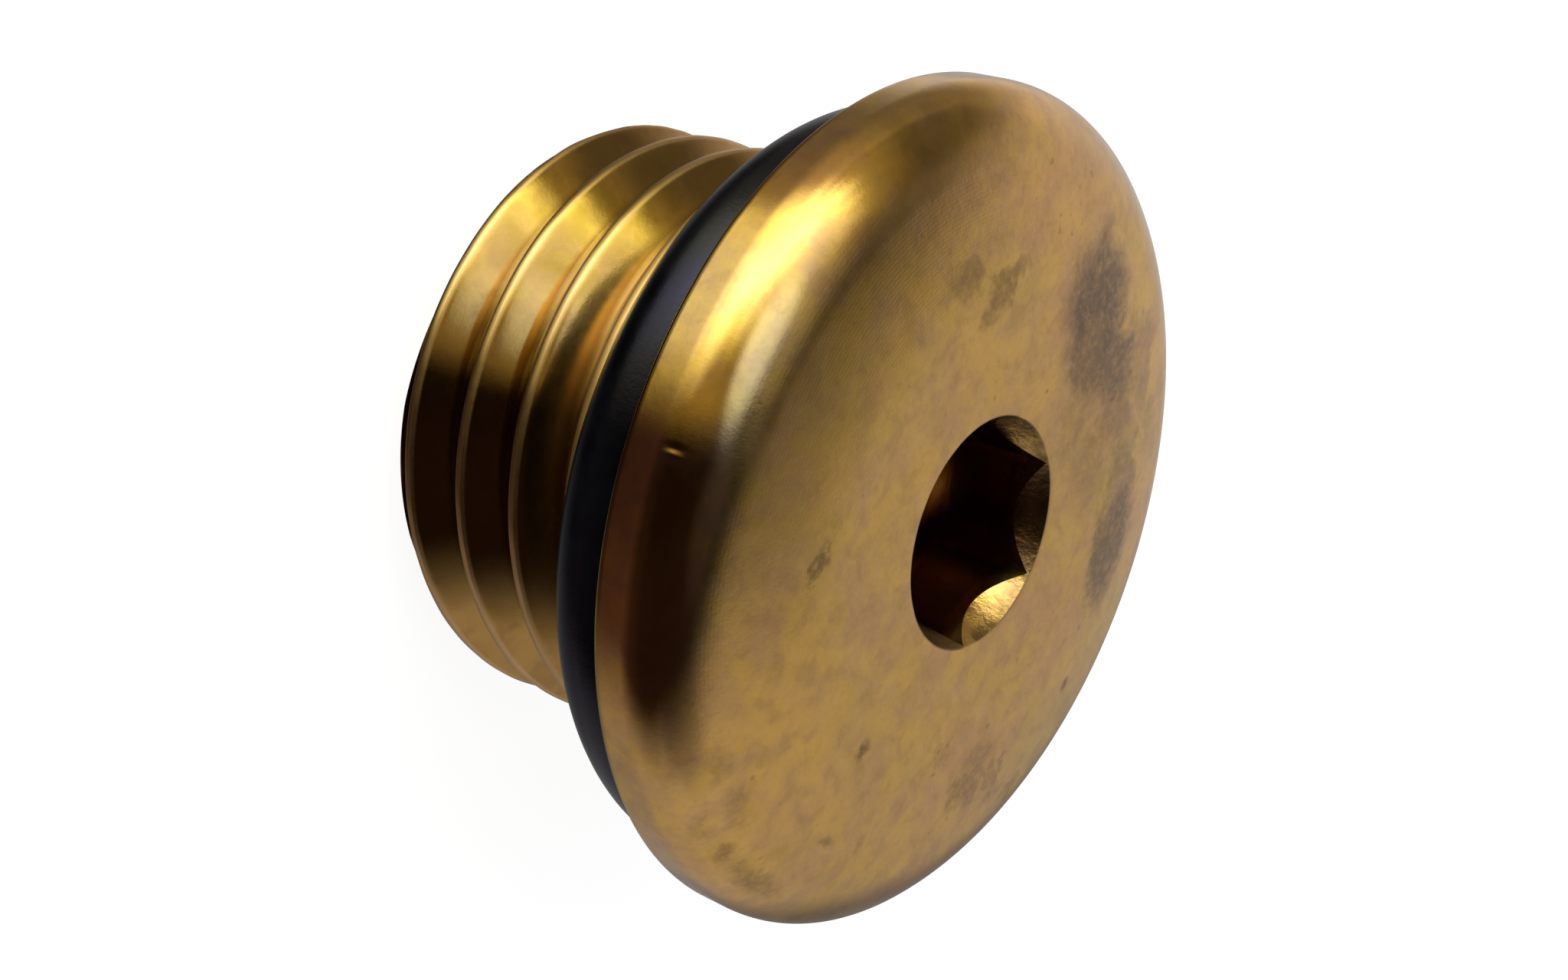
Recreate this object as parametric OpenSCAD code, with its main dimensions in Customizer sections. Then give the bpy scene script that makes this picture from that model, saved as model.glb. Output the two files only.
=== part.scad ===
// Threaded sealing plug: turned brass body with a domed head and a hex socket,
// and a rubber O-ring that sits in the groove under the head.
// Millimetres. +Z is the plug's axis, z = 0 is the flat end of the thread, the head is up.

/* [Head] */
// Largest diameter of the head
head_d = 14.8; // [12:0.1:20]
// Diameter of the flat middle of the front face
face_d = 7.4; // [5:0.1:10]
// Height of the straight band above the underside
band_h = 0.56; // [0.3:0.01:1.5]
// Height of the domed crown above the band
crown_h = 1.33; // [1.1:0.01:2]
// Radius of the tight arc at the rim
rim_r = 0.80; // [0.5:0.01:1.1]
// Radius of the wide arc around the flat middle
dome_r = 13; // [9:0.5:20]
// Slope at the end of the wide arc, in degrees
dome_angle = 11; // [6:0.5:14]
// Broken edge at the underside
edge_break = 0.08; // [0:0.01:0.3]

/* [Shank] */
// Length from the underside of the head to the end of the thread
shank_l = 7.13; // [5:0.01:16]
// Major diameter of the thread, 7/16-20 UNF class 2A
thread_d = 10.90; // [8:0.01:14]
// Chamfer at the end of the thread
end_chamfer = 0.55; // [0.2:0.05:1.2]
// Diameter at the bottom of the O-ring groove
groove_d = 10.12; // [7:0.01:13]
// Width of the O-ring groove
groove_w = 1.86; // [1.2:0.01:3]

/* [Socket] */
// Width across the flats of the hex socket
hex_af = 3.5; // [2.5:0.05:5]
// Depth of the hex flats below the face
hex_depth = 4.0; // [2:0.1:6]
// Diameter of the countersunk mouth
mouth_d = 4.08; // [3:0.02:6.5]
// Angle of the countersink
mouth_angle = 60; // [45:1:120]
// Diameter of the drill point at the bottom
drill_d = 3.4; // [2:0.05:5]

/* [O-ring] */
// Thickness of the O-ring
ring_cs = 1.8; // [1:0.05:3]
// Diameter through the middle of the O-ring's section
ring_mid_d = 11.88; // [8:0.01:16]
// How far the O-ring is flattened where it bears on the underside
ring_flat = 0.03; // [0:0.01:0.2]

/* [Hidden] */
fine = 96;
brass = [0.72, 0.55, 0.27];
black = [0.05, 0.05, 0.06];

head_r = head_d / 2;
thread_r = thread_d / 2;
groove_r = groove_d / 2;
under_z = shank_l;
band_z = under_z + band_h;
face_z = band_z + crown_h;
groove_z = under_z - groove_w;
ring_z = under_z - ring_cs / 2 + ring_flat;

function ray(c, a, l) = [c[0] + l * cos(a), c[1] + l * sin(a)];

// the crown is three tangent arcs: a tight one at the rim, a shoulder, and a wide one up to the flat middle
rim_c = [head_r - rim_r, band_z];
dome_c = [face_d / 2, face_z - dome_r];
dome_end = 90 - dome_angle;
join = ray(dome_c, dome_end, dome_r);
to_rim = rim_c - join;
shoulder_r = (rim_r * rim_r - to_rim * to_rim) / (2 * (to_rim * ray([0, 0], dome_end, 1) + rim_r));
shoulder_c = ray(join, dome_end + 180, shoulder_r);
blend = atan2(rim_c[1] - shoulder_c[1], rim_c[0] - shoulder_c[0]);
lap = 0.2;
// each arc stands this far proud of the last, so that the arcs cross cleanly where they meet
seam = 0.00002;

module crown_2d() {
    // flat middle
    translate([0, band_z - lap]) square([face_d / 2 + 0.001, crown_h + lap]);
    // wide arc, from the flat middle outwards
    intersection() {
        translate(dome_c) circle(r = dome_r, $fn = 4 * fine);
        polygon([dome_c, ray(dome_c, dome_end, 1.2 * dome_r), ray(dome_c, 90, 1.2 * dome_r)]);
        translate([0, band_z - lap]) square([head_r, crown_h + 2 * lap]);
    }
    // shoulder, from the wide arc to the rim
    intersection() {
        translate(shoulder_c) circle(r = shoulder_r + seam, $fn = fine);
        polygon([shoulder_c, ray(shoulder_c, blend, 2 * shoulder_r),
                 ray(shoulder_c, (blend + dome_end) / 2, 2 * shoulder_r), ray(shoulder_c, dome_end + 20, 2 * shoulder_r)]);
        translate([0, band_z - lap]) square([head_r, crown_h + 2 * lap]);
    }
    // tight arc at the rim
    intersection() {
        translate(rim_c) circle(r = rim_r + 2 * seam, $fn = fine);
        translate([rim_c[0] - 0.3, band_z - lap]) square([rim_r + 0.3 + lap, rim_r + 2 * lap]);
    }
}

module body_2d() {
    polygon([[0, 0], [thread_r - end_chamfer, 0], [thread_r, end_chamfer], [thread_r, groove_z],
             [groove_r, groove_z], [groove_r, under_z], [head_r - edge_break, under_z],
             [head_r, under_z + edge_break], [head_r, band_z], [0, band_z]]);
    crown_2d();
}

module socket() {
    hex_z = face_z - hex_depth;
    tip_h = drill_d / 2 / tan(59);
    csk_h = (mouth_d / 2 - 1.2) / tan(mouth_angle / 2);
    up = 0.4;
    translate([0, 0, hex_z]) cylinder(h = hex_depth + up, r = hex_af / 2 / cos(30), $fn = 6);
    translate([0, 0, hex_z - tip_h]) cylinder(h = tip_h + 0.001, r1 = 0, r2 = drill_d / 2, $fn = fine);
    translate([0, 0, face_z - csk_h])
        cylinder(h = csk_h + up, r1 = 1.2, r2 = mouth_d / 2 + up * tan(mouth_angle / 2), $fn = fine);
}

// one turned piece: head, groove and shank, with the socket cut into the face
module plug_body() {
    color(brass) difference() {
        rotate_extrude($fn = fine) body_2d();
        socket();
    }
}

// rubber ring, stretched over the groove and bearing on the underside of the head
module o_ring() {
    color(black) rotate_extrude($fn = fine) difference() {
        translate([ring_mid_d / 2, ring_z]) circle(d = ring_cs, $fn = fine);
        translate([0, under_z - 2 * ring_cs]) square([groove_r, 4 * ring_cs]);
        translate([0, under_z]) square([head_r, ring_cs]);
    }
}

plug_body();
o_ring();
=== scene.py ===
import math

import bmesh
import bpy
import numpy as np
from mathutils import Matrix, Vector

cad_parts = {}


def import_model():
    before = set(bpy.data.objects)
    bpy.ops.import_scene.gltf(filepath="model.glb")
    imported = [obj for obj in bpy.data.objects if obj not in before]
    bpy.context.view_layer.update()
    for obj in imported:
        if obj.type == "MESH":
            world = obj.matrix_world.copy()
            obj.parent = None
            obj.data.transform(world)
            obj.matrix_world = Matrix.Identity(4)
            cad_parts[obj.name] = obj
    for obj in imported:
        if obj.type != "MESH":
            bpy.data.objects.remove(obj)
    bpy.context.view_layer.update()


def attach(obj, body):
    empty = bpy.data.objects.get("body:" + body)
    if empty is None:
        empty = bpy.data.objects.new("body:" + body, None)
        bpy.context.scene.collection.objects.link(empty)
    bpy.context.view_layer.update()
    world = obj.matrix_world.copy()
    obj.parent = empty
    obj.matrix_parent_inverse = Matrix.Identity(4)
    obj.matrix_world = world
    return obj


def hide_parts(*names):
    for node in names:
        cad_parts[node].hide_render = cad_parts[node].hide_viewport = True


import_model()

MM = 0.001

# ------------------------------------------------------------------ sizes, as in the part (mm)
HEAD_R, FACE_R, BAND_H, CROWN_H, RIM_R, EDGE = 7.395, 3.7, 0.56, 1.33, 0.80, 0.08
DOME_R, DOME_A = 13.0, 11.0
SHANK_L, THREAD_R, END_C, GROOVE_R, GROOVE_W = 7.13, 5.448, 0.55, 5.06, 1.86
HEX_AF, HEX_D, MOUTH_R, MOUTH_A, DRILL_R = 3.5, 4.0, 2.04, 60.0, 1.70
RING_A, RING_MID = 0.9, 5.94
NICK_TH = -46.1
VIEW_AZ = -48.1                                     # the camera stands this way round the plug
PITCH, CREST_Z, CREST_TH = 1.27, 0.725, VIEW_AZ     # right-hand thread: one crest passes (CREST_TH, CREST_Z)
UNDER_Z = SHANK_L
BAND_Z = UNDER_Z + BAND_H
FACE_Z = BAND_Z + CROWN_H
GROOVE_Z = UNDER_Z - GROOVE_W
RING_Z = UNDER_Z - RING_A + 0.03


def thread_drop(t):
    """depth below the crest at axial distance t (in pitches, -0.5..0.5) from the crest's middle"""
    a = np.abs(t) * PITCH
    flat, depth, soft = 0.070, 0.640, 0.020
    d = (a - flat) * 1.28
    d = soft * np.log1p(np.exp(np.clip(d / soft, -60, 60)))
    k = 0.06                                        # rounded root
    h = np.clip(0.5 + 0.5 * (depth - d) / k, 0, 1)
    return depth * (1 - h) + d * h - k * h * (1 - h)


def shank_r(th, z):
    """outside of the threaded shank at angle th (degrees) and height z (mm)"""
    s = (z - CREST_Z) / PITCH - (th - CREST_TH) / 360.0
    t = s - np.round(s)
    a = np.radians(th)
    worn = 0.004 * np.sin(7 * a + 2.1 * z) + 0.003 * np.sin(17 * a - 1.3 * z) + 0.002 * np.sin(41 * a + 3.0 * z) - 0.009
    worn = worn * np.exp(-(np.abs(t) * PITCH / 0.11) ** 2)
    r = np.maximum(THREAD_R - thread_drop(t) + worn, GROOVE_R - 1.28 * np.maximum(GROOVE_Z - z, 0.0))
    return np.minimum(r, THREAD_R - END_C + np.maximum(z, 0.0))


def crown():
    """outline of the crown from the band to the flat middle: tight arc, shoulder, wide arc"""
    rim = np.array([HEAD_R - RIM_R, BAND_Z])
    dome = np.array([FACE_R, FACE_Z - DOME_R])
    a1 = math.radians(90.0 - DOME_A)
    u = np.array([math.cos(a1), math.sin(a1)])
    join = dome + DOME_R * u
    w = rim - join
    sr = (RIM_R ** 2 - w @ w) / (2 * (w @ u + RIM_R))
    sh = join - sr * u
    a0 = math.atan2(rim[1] - sh[1], rim[0] - sh[0])
    out = []
    for c, r, lo, hi, n in ((rim, RIM_R, 0.0, a0, 18), (sh, sr, a0, a1, 18), (dome, DOME_R, a1, math.pi / 2, 14)):
        for a in np.linspace(lo, hi, n, endpoint=False):
            out.append((c[0] + r * math.cos(a), c[1] + r * math.sin(a)))
    return out


def columns():
    base = [360.0 * i / 330 - 180 for i in range(330)]
    hexes = [60.0 * i - 180 for i in range(6)]
    extra = list(np.arange(NICK_TH - 2.4, NICK_TH + 2.4, 0.15))
    out = []
    for v in sorted(base + hexes + extra):
        if not out or v - out[-1] > 0.05:
            out.append(v)
    return np.array(out)


def make_object(name, verts, faces, sharp=24.0):
    me = bpy.data.meshes.new(name)
    me.from_pydata([tuple(v) for v in verts], [], faces)
    bm = bmesh.new()
    bm.from_mesh(me)
    bmesh.ops.remove_doubles(bm, verts=bm.verts, dist=2e-7)
    bmesh.ops.dissolve_degenerate(bm, edges=bm.edges, dist=1e-8)
    bmesh.ops.recalc_face_normals(bm, faces=bm.faces)
    bm.to_mesh(me)
    bm.free()
    me.shade_smooth()
    me.set_sharp_from_angle(angle=math.radians(sharp))
    ob = bpy.data.objects.new(name, me)
    bpy.context.scene.collection.objects.link(ob)
    return ob


def grid_faces(rows, cols, wrap=True):
    f = []
    for i in range(rows - 1):
        for j in range(cols if wrap else cols - 1):
            k = (j + 1) % cols
            f.append((i * cols + j, i * cols + k, (i + 1) * cols + k, (i + 1) * cols + j))
    return f


# ------------------------------------------------------------------ plug body
def plug_body():
    th = columns()
    n = len(th)
    rad = np.radians(th)
    rows = []                                       # each row: (r array, z array)

    def ring(r, z):
        rows.append((np.full(n, float(r)) if np.isscalar(r) else r, np.full(n, float(z)) if np.isscalar(z) else z))

    # flat end, then the thread
    r0 = shank_r(th, np.zeros(n))
    ring(0.0, 0.0)
    ring(0.35 * r0, 0.0)
    ring(0.7 * r0, 0.0)
    ring(r0 - 0.03, 0.0)
    turn = (th - CREST_TH) / 360.0
    side = [0.0, 0.045, 0.060, 0.072, 0.085, 0.105, 0.16, 0.24, 0.32, 0.40, 0.455, 0.50, 0.54, 0.58]
    step = sorted([-v for v in side[1:]] + side + [PITCH / 2])
    lo = int(math.floor((0 - CREST_Z) / PITCH - turn.max())) - 1
    hi = int(math.ceil((GROOVE_Z - CREST_Z) / PITCH - turn.min())) + 1
    for i in range(lo, hi + 1):
        for q in step:
            z = np.clip(CREST_Z + PITCH * (i + turn) + q, 0.0, GROOVE_Z)
            if (z >= GROOVE_Z).all() or (z <= 0.0).all():
                continue
            ring(shank_r(th, z), z)
    ring(shank_r(th, np.full(n, GROOVE_Z)), GROOVE_Z)
    # groove and underside
    ring(GROOVE_R, GROOVE_Z)
    ring(GROOVE_R, UNDER_Z)
    ring(0.5 * (GROOVE_R + HEAD_R), UNDER_Z)
    for a in np.linspace(-90, 0, 5):
        ring(HEAD_R - EDGE + EDGE * math.cos(math.radians(a)), UNDER_Z + EDGE + EDGE * math.sin(math.radians(a)))
    for z in np.linspace(UNDER_Z + EDGE, BAND_Z, 8)[1:-1]:
        ring(HEAD_R, z)
    for r, z in crown():
        ring(r, z)
    for r in np.linspace(FACE_R, MOUTH_R + 0.06, 8):
        ring(r, FACE_Z)
    # countersunk mouth, hex flats, drill point
    ta = math.tan(math.radians(MOUTH_A / 2))
    e = 0.035
    ring(MOUTH_R + 0.5 * e, FACE_Z - 0.004)
    ring(MOUTH_R - 0.1 * e, FACE_Z - 0.35 * e)
    rh = (HEX_AF / 2) / np.cos(np.radians(np.mod(th, 60.0) - 30.0))
    zc = FACE_Z - (MOUTH_R - rh) / ta
    for k in (0.4, 0.75, 1.0):
        r = MOUTH_R - e * 0.6 + (rh - MOUTH_R + e * 0.6) * k
        ring(r, FACE_Z - (MOUTH_R - r) / ta)
    zb = FACE_Z - HEX_D
    for k in (0.15, 0.4, 0.7, 1.0):
        ring(rh, zc + (zb - zc) * k)
    ring(DRILL_R, zb)
    tip = DRILL_R / math.tan(math.radians(59))
    ring(0.6 * DRILL_R, zb - 0.4 * tip)
    ring(0.2 * DRILL_R, zb - 0.8 * tip)
    ring(0.0, zb - tip)

    R = np.array([r for r, _ in rows])
    Z = np.array([z for _, z in rows])
    P = np.stack([R * np.cos(rad), R * np.sin(rad), Z], -1)

    # a small nick in the rim, with a pushed-up lip on its lower side
    a = math.radians(NICK_TH)
    nrm = np.array([0.94 * math.cos(a), 0.94 * math.sin(a), 0.34])
    c = np.array([7.335 * math.cos(a), 7.335 * math.sin(a), 8.01])
    tan = np.array([-math.sin(a), math.cos(a), 0.0])
    acr = np.cross(nrm, tan)
    d = P - c
    u, v, w = d @ tan, d @ acr, d @ nrm
    near = np.abs(w) < 0.5
    dent = -0.007 * np.exp(-(u / 0.055) ** 2 - (v / 0.12) ** 2)
    lip = 0.0025 * np.exp(-((u - 0.085 - 0.8 * v * v) / 0.035) ** 2 - (v / 0.13) ** 2)
    P = P + (np.where(near, dent + lip, 0.0))[..., None] * nrm

    m = len(rows)
    return make_object("plug_body_turned", P.reshape(-1, 3) * MM, grid_faces(m, n))


# ------------------------------------------------------------------ O-ring
def o_ring():
    n, m = 288, 56
    th = np.linspace(0, 2 * math.pi, n, endpoint=False)
    ph = np.linspace(0, 2 * math.pi, m, endpoint=False)
    T, A = np.meshgrid(th, ph, indexing="ij")
    a = RING_A - 0.004 + 0.003 * np.sin(3 * T + 0.7) * np.cos(A)
    flash = 0.006 * np.exp(-((np.mod(A, 2 * math.pi) - 0.02) / 0.035) ** 2) + 0.006 * np.exp(-((np.mod(A, 2 * math.pi) - 2 * math.pi) / 0.035) ** 2)
    r = RING_MID + (a + 0.6 * flash * 0.6) * np.cos(A)
    z = RING_Z + a * np.sin(A)
    r = np.maximum(r, GROOVE_R)
    z = np.minimum(z, UNDER_Z)
    r = np.maximum(r + 0.10 * np.cos(T - math.radians(15)), GROOVE_R)      # the loose ring hangs to one side
    P = np.stack([r * np.cos(T), r * np.sin(T), z], -1)
    f = []
    for i in range(n):
        for j in range(m):
            f.append((i * m + j, ((i + 1) % n) * m + j, ((i + 1) % n) * m + (j + 1) % m, i * m + (j + 1) % m))
    return make_object("o_ring_rubber", P.reshape(-1, 3) * MM, f, 60.0)


# ------------------------------------------------------------------ node helpers
class Tree:
    def __init__(self, tree):
        self.t = tree
        self.t.nodes.clear()

    def new(self, kind, **props):
        nd = self.t.nodes.new(kind)
        for k, v in props.items():
            setattr(nd, k, v)
        return nd

    def put(self, socket, value):
        if isinstance(value, bpy.types.NodeSocket):
            self.t.links.new(value, socket)
        elif value is not None:
            socket.default_value = value

    def math(self, op, a, b=None, c=None, clamp=False):
        nd = self.new("ShaderNodeMath", operation=op, use_clamp=clamp)
        for s, v in zip(nd.inputs, (a, b, c)):
            self.put(s, v)
        return nd.outputs[0]

    def vmath(self, op, a, b=None, scale=None):
        nd = self.new("ShaderNodeVectorMath", operation=op)
        self.put(nd.inputs[0], a)
        if b is not None:
            self.put(nd.inputs[1], b)
        if scale is not None:
            self.put(nd.inputs["Scale"], scale)
        return nd.outputs["Value"] if op in ("LENGTH", "DOT_PRODUCT", "DISTANCE") else nd.outputs["Vector"]

    def step(self, v, lo, hi, out0=0.0, out1=1.0):
        nd = self.new("ShaderNodeMapRange", interpolation_type="SMOOTHSTEP")
        for k, x in (("Value", v), ("From Min", lo), ("From Max", hi), ("To Min", out0), ("To Max", out1)):
            self.put(nd.inputs[k], x)
        return nd.outputs["Result"]

    def ramp(self, v, stops, interp="EASE"):
        nd = self.new("ShaderNodeValToRGB")
        cr = nd.color_ramp
        cr.interpolation = interp
        while len(cr.elements) > 1:
            cr.elements.remove(cr.elements[-1])
        for i, (p, c) in enumerate(stops):
            el = cr.elements[0] if i == 0 else cr.elements.new(p)
            el.position = p
            c = (c, c, c) if isinstance(c, (int, float)) else c
            el.color = (*c, 1.0)
        self.put(nd.inputs["Fac"], v)
        return nd.outputs["Color"]

    def mix(self, f, a, b, mode="MIX"):
        nd = self.new("ShaderNodeMix", data_type="RGBA", blend_type=mode)
        col = lambda c: (*c, 1.0) if isinstance(c, tuple) and len(c) == 3 else c
        self.put(nd.inputs[0], f)
        self.put(nd.inputs[6], col(a))
        self.put(nd.inputs[7], col(b))
        return nd.outputs[2]

    def noise(self, vec, scale, detail=3.0, rough=0.5, distort=0.0):
        nd = self.new("ShaderNodeTexNoise")
        self.put(nd.inputs["Vector"], vec)
        nd.inputs["Scale"].default_value = scale
        nd.inputs["Detail"].default_value = detail
        nd.inputs["Roughness"].default_value = rough
        nd.inputs["Distortion"].default_value = distort
        return nd.outputs["Fac"], nd.outputs["Color"]


# ------------------------------------------------------------------ brass
def brass_material():
    mat = bpy.data.materials.new("brass_tarnished")
    mat.use_nodes = True
    T = Tree(mat.node_tree)
    out = T.new("ShaderNodeOutputMaterial")
    bs = T.new("ShaderNodeBsdfPrincipled")
    T.t.links.new(bs.outputs[0], out.inputs["Surface"])
    obj = T.new("ShaderNodeTexCoord").outputs["Object"]
    mm = T.vmath("SCALE", obj, scale=1000.0)
    sep = T.new("ShaderNodeSeparateXYZ")
    T.put(sep.inputs[0], mm)
    x, y, z = sep.outputs
    rad = T.math("SQRT", T.math("ADD", T.math("MULTIPLY", x, x), T.math("MULTIPLY", y, y)))

    cloud, _ = T.noise(mm, 0.42, 4.0, 0.55, 0.5)
    mott, mott_c = T.noise(mm, 1.15, 4.0, 0.55, 0.4)
    blot, blot_c = T.noise(T.vmath("ADD", mm, (11.0, 4.0, 2.0)), 2.1, 4.0, 0.52, 0.3)
    fine, _ = T.noise(mm, 7.5, 4.0, 0.65)
    grain, _ = T.noise(mm, 24.0, 2.0, 0.6)

    def amount(v, k):
        return T.math("MULTIPLY", v, k)

    on_face = T.step(z, 8.36, 8.80)
    head = T.step(z, 7.0, 7.2)

    # clean metal, pinkish and olive film over it, finer freckles in the film
    col = T.mix(amount(T.step(mott, 0.36, 0.64), 0.90), (0.655, 0.398, 0.098), (0.572, 0.340, 0.140))
    col = T.mix(amount(T.step(cloud, 0.50, 0.66), 0.55), col, (0.600, 0.330, 0.148))
    col = T.mix(amount(T.step(cloud, 0.32, 0.48, 1.0, 0.0), 0.55), col, (0.560, 0.372, 0.086))
    col = T.mix(amount(T.step(blot, 0.48, 0.68), 0.46), col, (0.440, 0.258, 0.096))
    col = T.mix(amount(T.step(blot, 0.30, 0.47, 1.0, 0.0), 0.45), col, (0.700, 0.442, 0.128))
    col = T.mix(amount(T.step(fine, 0.50, 0.72), 0.17), col, (0.350, 0.205, 0.098))
    col = T.mix(amount(T.step(fine, 0.30, 0.48, 1.0, 0.0), 0.15), col, (0.740, 0.470, 0.175))

    # placed stains
    warp = T.vmath("SCALE", T.vmath("SUBTRACT", mott_c, (0.5, 0.5, 0.5)), scale=1.3)
    warp2 = T.vmath("SCALE", T.vmath("SUBTRACT", T.noise(mm, 4.5, 3.0, 0.6)[1], (0.5, 0.5, 0.5)), scale=0.55)
    soft = T.vmath("ADD", T.vmath("ADD", mm, warp), warp2)
    calm = T.vmath("ADD", mm, T.vmath("SCALE", T.vmath("ADD", warp, warp2), scale=0.42))

    def spot(cx, cy, cz, a, b, turn, k=1.0, edge0=0.45, edge1=1.2, vec=None):
        mp = T.new("ShaderNodeMapping", vector_type="TEXTURE")
        T.put(mp.inputs["Vector"], vec or soft)
        mp.inputs["Location"].default_value = (cx, cy, cz)
        mp.inputs["Rotation"].default_value = (0, 0, math.radians(turn))
        mp.inputs["Scale"].default_value = (a, b, max(a, b))
        return T.step(T.vmath("LENGTH", mp.outputs[0]), edge0, edge1, k, 0.0)

    def union(items):
        acc = items[0]
        for it in items[1:]:
            acc = T.math("MAXIMUM", acc, it)
        return acc

    f = FACE_Z
    grey = union([
        spot(-4.00, -1.75, f, 1.80, 1.28, 78, 1.0, 0.38, 1.15), spot(-4.30, -0.55, f, 1.10, 0.90, 85, 0.90),
        spot(-4.15, 0.45, f, 0.95, 0.65, 90, 0.55), spot(-3.50, 3.10, f, 1.45, 0.82, 55, 0.92),
        spot(-4.20, 1.80, f, 1.10, 0.60, 80, 0.55), spot(-4.6, 4.6, f, 1.1, 0.45, 50, 0.40),
        spot(-5.3, 0.2, f, 1.8, 0.5, 88, 0.38), spot(-3.15, 0.80, f, 1.25, 0.85, 80, 0.42, 0.1, 1.3, calm),
        spot(-2.80, -0.20, f, 0.95, 0.60, 85, 0.36, 0.1, 1.3, calm)])
    core = spot(-3.75, -1.35, f, 0.55, 0.45, 30, 0.16)
    grey = T.math("SUBTRACT", grey, core, clamp=True)
    dark = union([
        spot(-1.65, -3.90, f, 0.75, 0.36, 10, 0.65), spot(-0.8, -4.7, f, 0.60, 0.35, -30, 0.45),
        spot(3.82, -2.35, f, 0.36, 0.27, 0, 0.85), spot(3.92, 1.55, f, 0.24, 0.16, 10, 1.0, 0.3, 1.3, calm),
        spot(1.65, 4.70, f, 0.75, 0.42, -60, 0.60), spot(0.85, 5.25, f, 0.50, 0.30, 70, 0.55),
        spot(2.0, 3.3, f, 0.55, 0.18, 80, 0.30), spot(-1.64, 5.09, 8.91, 0.17, 0.12, 30, 0.85, 0.4, 1.3, mm),
        spot(0.35, 6.05, f - 0.25, 0.45, 0.25, 20, 0.45), spot(-0.4, 6.75, 8.5, 0.50, 0.28, 20, 0.55),
        spot(6.42, 2.33, 8.52, 0.95, 0.24, 112, 0.72, 0.2, 1.3, calm), spot(6.75, 1.45, 8.47, 0.34, 0.22, 100, 0.80, 0.2, 1.3, calm),
        spot(5.07, 2.70, 8.86, 0.36, 0.15, 120, 0.60, 0.2, 1.3, calm), spot(6.46, 0.68, 8.69, 0.62, 0.30, 95, 0.48, 0.1, 1.3, calm),
        spot(6.54, -0.40, 8.67, 0.42, 0.26, 80, 0.42, 0.1, 1.3, calm), spot(7.04, 0.74, 8.33, 0.36, 0.22, 95, 0.40, 0.1, 1.3, calm),
        spot(1.15, 4.40, f, 0.85, 0.42, 150, 0.42, 0.1, 1.3, calm), spot(4.4, 3.5, 8.9, 0.30, 0.16, 60, 0.40, 0.2, 1.3, calm),
        spot(5.4, 4.75, 8.3, 0.9, 0.3, 132, 0.45)])
    grey = amount(grey, T.step(fine, 0.22, 0.60, 0.62, 1.0))
    dark = amount(dark, T.step(fine, 0.25, 0.60, 0.45, 1.0))
    col = T.mix(amount(grey, 0.90), col, (0.172, 0.119, 0.078))
    col = T.mix(amount(dark, 0.80), col, (0.175, 0.106, 0.050))

    # cleaner metal on one side of the face
    bright = spot(5.25, 0.45, 8.9, 2.3, 1.5, 90, 1.0, 0.15, 1.25)
    col = T.mix(amount(bright, T.step(blot, 0.40, 0.62, 0.55, 0.15)), col, (0.760, 0.455, 0.108))

    # scattered specks, denser in some clouds
    vor = T.new("ShaderNodeTexVoronoi", feature="F1")
    T.put(vor.inputs["Vector"], T.vmath("ADD", mm, T.vmath("SCALE", warp2, scale=0.4)))
    vor.inputs["Scale"].default_value = 3.6
    pick = T.new("ShaderNodeSeparateColor")
    T.put(pick.inputs[0], vor.outputs["Color"])
    size = amount(pick.outputs[0], 0.24)
    speck = amount(T.step(T.math("SUBTRACT", vor.outputs["Distance"], size), -0.08, 0.05, 1.0, 0.0), T.step(pick.outputs[1], 0.60, 0.72))
    speck = amount(speck, T.step(cloud, 0.42, 0.58))
    speck = amount(speck, on_face)
    col = T.mix(amount(speck, 0.45), col, (0.245, 0.145, 0.070))
    # one pale fleck near the rim
    fleck = spot(6.20, -2.50, 8.62, 0.20, 0.12, 60, 0.8)
    col = T.mix(amount(fleck, 0.5), col, (0.62, 0.44, 0.22))

    # thread: painted shade in the roots, a painted highlight line on the crests, painted shade and tint by angle round
    # the shank, a few dark dots
    ang = T.math("MULTIPLY", T.math("ARCTAN2", y, x), 180 / math.pi)
    shank = T.step(z, 5.25, 5.35, 1.0, 0.0)
    # painted shade: mask of the thread roots, darkened below
    root = amount(T.step(rad, 4.83, 4.99, 1.0, 0.0), shank)
    # painted highlight: mask of the thread crests, given a paler colour below
    crest = amount(T.step(rad, 5.370, 5.412), shank)
    col = T.mix(amount(shank, 0.60), col, (0.400, 0.235, 0.062))
    col = T.mix(amount(amount(T.step(mott, 0.49, 0.62), shank), 0.24), col, (0.200, 0.108, 0.036))
    ragged = T.math("ADD", ang, amount(T.math("SUBTRACT", mott, 0.5), 26.0))
    # painted tint on the highlight: the band at -96..-62 degrees, where the thread mirrors the key light
    key_band_painted_tint = amount(amount(T.step(ragged, -96.0, -89.0), T.step(ragged, -75.0, -62.0, 1.0, 0.0)), shank)
    key_band_painted_tint = amount(key_band_painted_tint, T.step(blot, 0.34, 0.60, 0.55, 1.0))
    col = T.mix(amount(key_band_painted_tint, 0.70), col, (0.285, 0.180, 0.028))
    # painted shade: darker band at -150..-98 degrees, past the edge of the key light's reflection
    upper_band_painted_shade = amount(amount(T.step(ragged, -112.0, -98.0, 1.0, 0.0), T.step(ragged, -150.0, -130.0)), shank)
    col = T.mix(amount(upper_band_painted_shade, 0.30), col, (0.200, 0.100, 0.040))
    # painted shade: darker side of the shank at -6..100 degrees
    under = amount(amount(T.step(ragged, -28.0, -6.0), T.step(ragged, 70.0, 100.0, 1.0, 0.0)), shank)
    col = T.mix(amount(under, 0.32), col, (0.220, 0.112, 0.038))
    # painted shade in the thread roots
    col = T.mix(amount(root, 0.75), col, (0.130, 0.058, 0.016))
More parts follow.
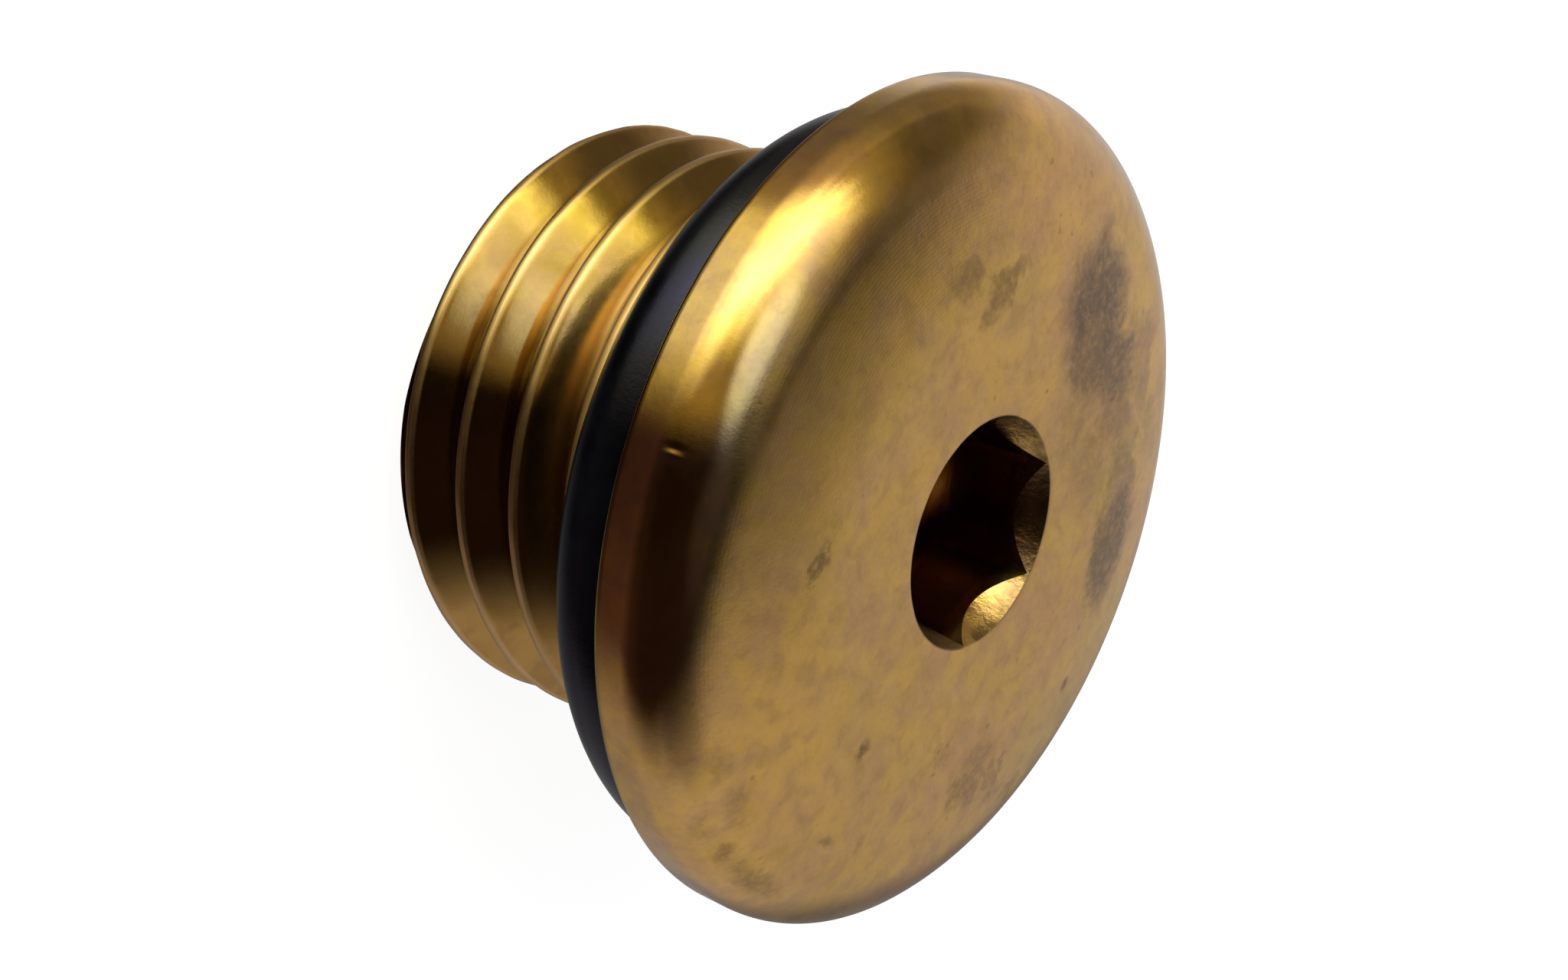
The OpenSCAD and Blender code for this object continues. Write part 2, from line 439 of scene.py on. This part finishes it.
    # painted highlight line along the thread crests
    col = T.mix(amount(crest, 0.70), col, (0.590, 0.375, 0.160))
    dots = union([spot(1.81, -5.10, 1.30, 0.085, 0.085, 0, 1.0, 0.4, 1.2, mm), spot(2.42, -4.85, 0.87, 0.07, 0.07, 0, 0.8, 0.4, 1.2, mm),
                  spot(5.34, 1.05, 1.78, 0.10, 0.09, 0, 1.0, 0.4, 1.2, mm), spot(5.39, 0.79, 1.38, 0.09, 0.09, 0, 0.9, 0.4, 1.2, mm)])
    col = T.mix(amount(dots, 0.8), col, (0.07, 0.045, 0.025))
    last = amount(T.step(z, 3.35, 3.75), shank)
    col = T.mix(amount(last, 0.25), col, (0.400, 0.200, 0.055))
    # inside of the socket: painted shade deeper in the bore and on three hex facets (faint on one), and a darker ring
    # just inside the mouth edge
    in_bore = amount(T.step(rad, 2.03, 2.075, 1.0, 0.0), head)
    bore_painted_shade = amount(in_bore, T.step(z, FACE_Z - 0.75, FACE_Z - 0.35, 1.0, 0.0))

    def lens(a):
        c, s = math.cos(math.radians(a)), math.sin(math.radians(a))
        toward = T.math("DIVIDE", T.math("ADD", T.math("MULTIPLY", x, c), T.math("MULTIPLY", y, s)), rad)
        return amount(T.step(toward, 0.866, 0.90), in_bore)

    # painted shade deeper in the socket
    col = T.mix(amount(bore_painted_shade, 0.60), col, (0.200, 0.095, 0.045))
    # painted shade on three hex facets, faint on the last
    col = T.mix(amount(lens(150), 0.85), col, (0.130, 0.062, 0.042))
    col = T.mix(amount(lens(30), 0.75), col, (0.130, 0.085, 0.035))
    col = T.mix(amount(lens(210), 0.15), col, (0.250, 0.185, 0.065))
    rim = amount(T.step(rad, 1.88, 2.00), in_bore)
    rim = amount(rim, T.step(blot, 0.38, 0.55, 0.25, 1.0))
    col = T.mix(amount(rim, 0.70), col, (0.120, 0.075, 0.032))
    T.put(bs.inputs["Base Color"], col)

    bs.inputs["Metallic"].default_value = 1.0
    ro = T.math("ADD", 0.100, amount(on_face, 0.145))
    ro = T.math("ADD", ro, amount(T.step(mott, 0.35, 0.70), 0.035))
    ro = T.math("ADD", ro, amount(T.math("MAXIMUM", grey, dark), 0.10))
    ro = T.math("ADD", ro, amount(T.math("SUBTRACT", fine, 0.5), 0.09))
    ro = T.math("ADD", ro, amount(in_bore, 0.06))
    ro = T.math("SUBTRACT", ro, amount(shank, 0.010))
    ro = T.math("ADD", ro, amount(crest, 0.20))
    ro = T.math("ADD", ro, amount(last, 0.14))
    T.put(bs.inputs["Roughness"], ro)

    # fine turning marks and a grainy surface
    rings = T.math("SINE", T.math("MULTIPLY", T.math("ADD", rad, amount(mott, 0.05)), 95.0))
    h = T.math("ADD", amount(fine, 0.8), amount(grain, 0.35))
    h = T.math("ADD", h, amount(amount(rings, on_face), 0.05))
    h = T.math("SUBTRACT", h, amount(speck, 0.6))
    h = T.math("SUBTRACT", h, amount(dots, 2.0))
    facet = T.math("SUBTRACT", in_bore, bore_painted_shade, clamp=True)
    h = T.math("ADD", h, amount(facet, T.math("ADD", amount(blot, 14.0), amount(fine, 7.0))))
    bp = T.new("ShaderNodeBump")
    bp.inputs["Strength"].default_value = 0.25
    bp.inputs["Distance"].default_value = 0.000010
    h = amount(h, T.math("MAXIMUM", T.step(on_face, 0.0, 1.0, 0.35, 1.0), in_bore))
    T.put(bp.inputs["Height"], h)
    T.put(bs.inputs["Normal"], bp.outputs[0])
    return mat


# ------------------------------------------------------------------ rubber
def rubber_material():
    mat = bpy.data.materials.new("rubber_black")
    mat.use_nodes = True
    T = Tree(mat.node_tree)
    out = T.new("ShaderNodeOutputMaterial")
    bs = T.new("ShaderNodeBsdfPrincipled")
    T.t.links.new(bs.outputs[0], out.inputs["Surface"])
    obj = T.new("ShaderNodeTexCoord").outputs["Object"]
    mm = T.vmath("SCALE", obj, scale=1000.0)
    cloud, _ = T.noise(mm, 1.1, 4.0, 0.55, 0.3)
    fine, _ = T.noise(mm, 11.0, 4.0, 0.65)
    dust, _ = T.noise(mm, 30.0, 2.0, 0.6)
    col = T.mix(T.step(cloud, 0.35, 0.70), (0.0010, 0.0011, 0.0017), (0.0022, 0.0023, 0.0033))
    col = T.mix(T.math("MULTIPLY", T.step(dust, 0.66, 0.78), 0.25), col, (0.016, 0.016, 0.016))
    T.put(bs.inputs["Base Color"], col)
    bs.inputs["Metallic"].default_value = 0.0
    bs.inputs["Specular IOR Level"].default_value = 0.23
    bs.inputs["Specular Tint"].default_value = (1.0, 0.9, 1.25, 1.0)
    ro = T.math("ADD", 0.19, T.math("MULTIPLY", T.math("SUBTRACT", fine, 0.5), 0.12))
    ro = T.math("ADD", ro, T.math("MULTIPLY", T.step(cloud, 0.4, 0.65), 0.05))
    T.put(bs.inputs["Roughness"], ro)
    h = T.math("ADD", T.math("MULTIPLY", fine, 0.8), T.math("MULTIPLY", dust, 0.4))
    bp = T.new("ShaderNodeBump")
    bp.inputs["Strength"].default_value = 0.3
    bp.inputs["Distance"].default_value = 0.000012
    T.put(bp.inputs["Height"], h)
    T.put(bs.inputs["Normal"], bp.outputs[0])
    return mat


# ------------------------------------------------------------------ camera, as the photograph was taken
def camera():
    f_px, T = 2675.08, Vector((-3.6199, -1.6815, 39.4908))     # picture axes: x right, y down, z away
    ax, ay = 0.77160, 0.26754                                   # the plug's +Z in those axes
    a = Vector((ax, ay, -math.sqrt(1 - ax * ax - ay * ay)))
    c = -T
    e1 = (c - a * c.dot(a)).normalized()
    e2 = a.cross(e1)
    t = math.radians(-VIEW_AZ)
    X = e1 * math.cos(t) + e2 * math.sin(t)
    Y = a.cross(X)
    m = Matrix((X, Y, a))                                       # picture axes -> part axes
    loc = -(m @ T) * MM
    right, up, back = m @ Vector((1, 0, 0)), m @ Vector((0, -1, 0)), m @ Vector((0, 0, -1))
    cam = bpy.data.cameras.new("camera")
    cam.sensor_fit = "HORIZONTAL"
    cam.sensor_width = 36.0
    cam.lens = 36.0 * f_px / 2048.0
    cam.clip_start = 0.001
    cam.clip_end = 20.0
    ob = bpy.data.objects.new("camera", cam)
    M = Matrix((right, up, back)).transposed().to_4x4()
    M.translation = loc
    ob.matrix_world = M
    bpy.context.scene.collection.objects.link(ob)
    bpy.context.scene.camera = ob
    return ob


# ------------------------------------------------------------------ floor and light
def floor():
    bm = bmesh.new()
    bmesh.ops.create_circle(bm, cap_ends=True, cap_tris=False, segments=96, radius=3.0)
    me = bpy.data.meshes.new("floor")
    bm.to_mesh(me)
    bm.free()
    ob = bpy.data.objects.new("floor", me)
    bpy.context.scene.collection.objects.link(ob)
    mat = bpy.data.materials.new("floor_pale")
    mat.use_nodes = True
    T = Tree(mat.node_tree)
    out = T.new("ShaderNodeOutputMaterial")
    bs = T.new("ShaderNodeBsdfPrincipled")
    bs.inputs["Base Color"].default_value = (0.30, 0.30, 0.30, 1)
    bs.inputs["Roughness"].default_value = 0.9
    bs.inputs["Specular IOR Level"].default_value = 0.0
    bs.inputs["Emission Color"].default_value = (1, 1, 1, 1)
    bs.inputs["Emission Strength"].default_value = 0.91
    T.t.links.new(bs.outputs[0], out.inputs["Surface"])
    me.materials.append(mat)
    ob.visible_glossy = False
    ob.visible_shadow = False
    return ob


def world():
    w = bpy.data.worlds.new("studio")
    bpy.context.scene.world = w
    w.use_nodes = True
    T = Tree(w.node_tree)
    out = T.new("ShaderNodeOutputWorld")
    d = T.new("ShaderNodeTexCoord").outputs["Generated"]
    sep = T.new("ShaderNodeSeparateXYZ")
    T.put(sep.inputs[0], d)
    x, y, z = sep.outputs
    az = T.math("MULTIPLY", T.math("ARCTAN2", y, x), 180 / math.pi)
    el = T.math("MULTIPLY", T.math("ARCSINE", z), 180 / math.pi)

    def by_az(v, stops):
        return T.ramp(T.math("DIVIDE", T.math("ADD", v, 180.0), 360.0), [((p + 180.0) / 360.0, c) for p, c in stops])

    def by_el(stops):
        return T.ramp(T.math("DIVIDE", T.math("ADD", el, 90.0), 180.0), [((p + 90.0) / 180.0, c) for p, c in stops])

    def times(*items):
        acc = items[0]
        for it in items[1:]:
            acc = T.mix(1.0, acc, it, "MULTIPLY")
        return acc

    def plus(*items):
        acc = items[0]
        for it in items[1:]:
            acc = T.mix(1.0, acc, it, "ADD")
        return acc

    def cap(a, e, inner, outer):
        a, e = math.radians(a), math.radians(e)
        c = (math.cos(e) * math.cos(a), math.cos(e) * math.sin(a), math.sin(e))
        return T.step(T.vmath("DOT_PRODUCT", d, c), math.cos(math.radians(outer)), math.cos(math.radians(inner)))

    # wide pale surroundings behind the plug, dark where the viewer stands
    wide = times(T.mix(cap(106, -12, 62, 92), (0.0, 0.0, 0.0), (0.56, 0.54, 0.54)),
                 by_az(az, [(-180, 1.45), (20, 1.0), (50, 1.10), (76, 1.08), (104, 0.98), (122, 1.02), (150, 1.30), (178, 1.45)]),
                 by_el([(-90, 0.10), (-60, 0.28), (-48, 0.36), (-36, 0.66), (-12, 0.88), (6, 0.95), (24, 1.03), (45, 1.08), (90, 1.1)]),
                 T.mix(cap(147, 56, 11, 24), (1.0, 1.0, 1.0), (0.42, 0.41, 0.40)), T.mix(cap(172, 51, 9, 20), (1.0, 1.0, 1.0), (0.45, 0.45, 0.45)),
                 T.mix(cap(42, 46, 6, 20), (1.0, 1.0, 1.0), (0.6, 0.6, 0.6)), T.mix(cap(106, -12, 8, 30), (1.0, 1.0, 1.0), (0.44, 0.44, 0.44)))
    side = times(by_az(az, [(-180, 1.0), (-140, 1.0), (-112, 0.8), (-95, 0.0), (165, 0.0), (179, 1.0)]),
                 by_el([(-90, 0.03), (-56, 0.05), (-46, 0.25), (-34, 1.0), (-4, 1.2), (11, 1.25), (20, 0.76), (27, 0.66), (38, 0.50), (60, 0.45), (75, 0.3), (90, 0.1)]), (0.225, 0.200, 0.165))
    dusk = times(by_az(az, [(-80, 0.0), (-40, 0.6), (0, 1.0), (25, 1.0), (50, 0.0)]), by_el([(-90, 0.05), (-60, 0.08), (-46, 0.3), (-37, 0.62), (-12, 0.25), (8, 0.15), (40, 0.13), (60, 0.14), (82, 0.20), (90, 0.20)]), (0.145, 0.078, 0.080))
    haze = plus(T.mix(cap(0, 76, 3, 17), (0.0, 0.0, 0.0), (0.024, 0.025, 0.048)), T.mix(cap(-168, 74, 3, 15), (0.0, 0.0, 0.0), (0.27, 0.28, 0.32)))
    # a tall soft box to the left of the viewer, leaning
    left = T.math("MULTIPLY", by_el([(-90, 0.58), (-38, 0.565), (-4, 0.555), (20, 0.59), (29, 0.618), (40, 0.664), (46, 0.698), (55, 0.757), (90, 0.80)]), -200.0)
    right = T.math("MULTIPLY", by_el([(-90, 0.335), (-39, 0.335), (0, 0.357), (39, 0.424), (60, 0.45), (90, 0.45)]), -200.0)
    far = T.math("SUBTRACT", az, left)
    near = T.math("SUBTRACT", az, right)
    box = T.math("MULTIPLY", T.step(far, -5.0, 9.0), T.step(near, -13.0, 19.0, 1.0, 0.0))
    halo = T.math("MULTIPLY", T.step(far, -30.0, 2.0), T.step(az, -62.0, -43.0, 1.0, 0.0))
    core = T.math("MULTIPLY", T.step(far, 6.0, 26.0), T.step(near, -16.0, 10.0, 1.0, 0.0))
    key = times(by_el([(-56, 0.0), (-47, 0.05), (-38, 0.32), (-20, 0.60), (0, 0.95), (18, 1.0), (36, 0.98), (44, 0.66), (49, 0.44), (52, 0.32), (56, 0.22), (60, 0.12), (66, 0.05), (74, 0.0)]),
                plus(T.mix(box, (0.0, 0.0, 0.0), (3.35, 3.75, 2.1)), T.mix(core, (0.0, 0.0, 0.0), (0.1, 0.1, 2.1))))
    warm = times(by_el([(-60, 0.0), (-49, 0.08), (-39, 0.5), (-12, 0.95), (20, 1.0), (45, 0.9), (58, 0.7), (70, 0.2), (76, 0.0)]), T.mix(halo, (0.0, 0.0, 0.0), (0.46, 0.38, 0.16)))
    # a small cool window above it
    cool = T.mix(cap(-96, 67, 6, 17.5), (0.0, 0.0, 0.0), (0.93, 1.25, 2.1))
    tot = plus(wide, side, dusk, haze, key, warm, cool)
    lp = T.new("ShaderNodeLightPath")
    bg = T.new("ShaderNodeBackground")
    T.put(bg.inputs["Color"], T.mix(lp.outputs["Is Camera Ray"], tot, (0.985, 0.985, 0.985)))
    bg.inputs["Strength"].default_value = 1.0
    T.t.links.new(bg.outputs[0], out.inputs["Surface"])


# ------------------------------------------------------------------ build
body = plug_body()
body.data.materials.append(brass_material())
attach(body, "root")
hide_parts("plug_body")

ring = o_ring()
ring.data.materials.append(rubber_material())
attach(ring, "root")
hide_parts("o_ring")

camera()
floor()
world()
vs = bpy.context.scene.view_settings
vs.view_transform = "Standard"
vs.look = "None"
vs.exposure = 0.0
vs.gamma = 1.0

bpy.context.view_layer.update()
